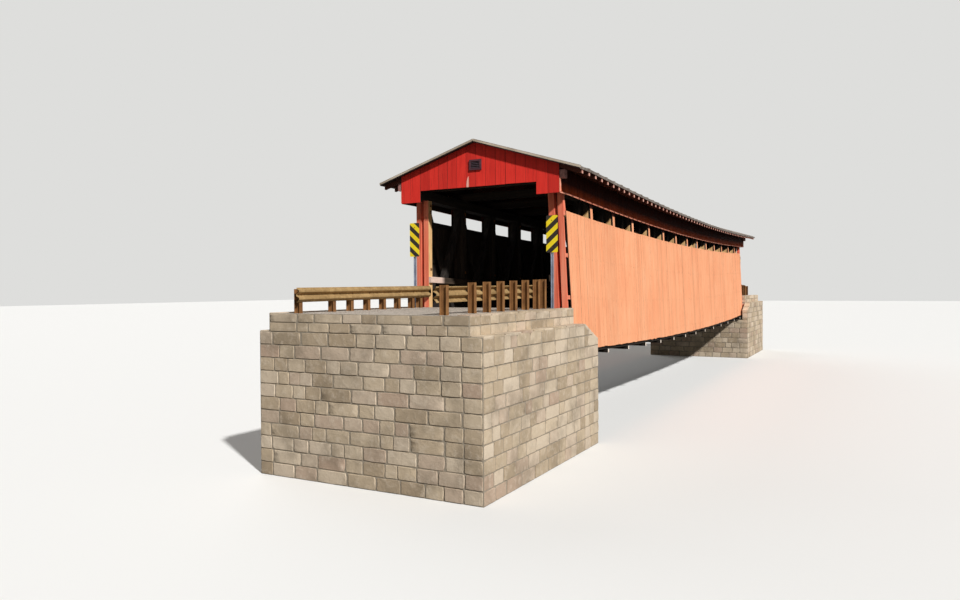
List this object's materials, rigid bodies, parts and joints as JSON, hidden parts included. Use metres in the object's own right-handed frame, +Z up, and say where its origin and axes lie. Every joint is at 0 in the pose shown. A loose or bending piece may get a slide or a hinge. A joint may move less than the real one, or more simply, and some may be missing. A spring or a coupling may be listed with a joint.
{
  "type": "covered bridge",
  "caption": "Timber covered road bridge: plank-sided diagonal-braced trusses with a slot under the eaves, low gable roof, stone abutments and steel approach rails.",
  "frame": {"origin": "centre of the whole bridge in plan, on the level where the abutments stand", "axes": "+X to the right across the road, +Y along the road from the near portal to the far one, +Z up"},
  "size_m": [5.832, 37.93, 7.8167],
  "materials": {
    "stone": "coursed rough masonry",
    "old_timber": "rough sawn, dark with age",
    "truss_timber": "rough sawn, weathered",
    "deck_planks": "worn planks",
    "weathered_plank": "weathered grey",
    "red_timber": "old red paint",
    "siding_paint": "faded red paint on rough boards",
    "band_paint": "dark red paint on boards",
    "gable_paint": "bright red paint on boards",
    "dark_trim": "dark red-brown paint",
    "vent_grey": "dark grey",
    "roof_metal": "weathered sheet",
    "marker_yellow": "yellow and black stripes",
    "galvanised": "galvanised",
    "rusted_steel": "weathering steel, rust brown"
  },
  "bodies": {
    "root": {"near_abutment": "stone", "far_abutment": "stone", "bearing_blocks": "old_timber", "lower_chord_left": "old_timber", "lower_chord_right": "old_timber", "upper_chord_left": "old_timber", "upper_chord_right": "old_timber", "truss_posts_left": "truss_timber", "truss_posts_right": "truss_timber", "main_braces_left": "truss_timber", "main_braces_right": "truss_timber", "counter_braces_left": "truss_timber", "counter_braces_right": "truss_timber", "floor_beams": "old_timber", "lower_cross_ties": "old_timber", "floor_stringers": "old_timber", "deck": "deck_planks", "guard_timber_left": "weathered_plank", "guard_timber_right": "weathered_plank", "siding_girts": "red_timber", "siding_left": "siding_paint", "siding_right": "siding_paint", "slot_boards_left": "siding_paint", "slot_boards_right": "siding_paint", "end_post_boards": "truss_timber", "tie_beams": "red_timber", "wall_plates": "old_timber", "rafters_left": "red_timber", "rafters_right": "red_timber", "roof_left": "roof_metal", "roof_right": "roof_metal", "ridge_cap": "roof_metal", "barge_boards": "dark_trim", "near_gable": "gable_paint", "far_gable": "gable_paint", "gable_vents": "vent_grey", "eave_band_left": "band_paint", "eave_band_right": "band_paint", "eave_rails": "old_timber", "marker_plates": "marker_yellow", "marker_posts": "galvanised", "near_guard_posts": "rusted_steel", "far_guard_posts": "rusted_steel", "near_guard_rails": "rusted_steel", "far_guard_rails": "rusted_steel"}
  },
  "joints": []
}
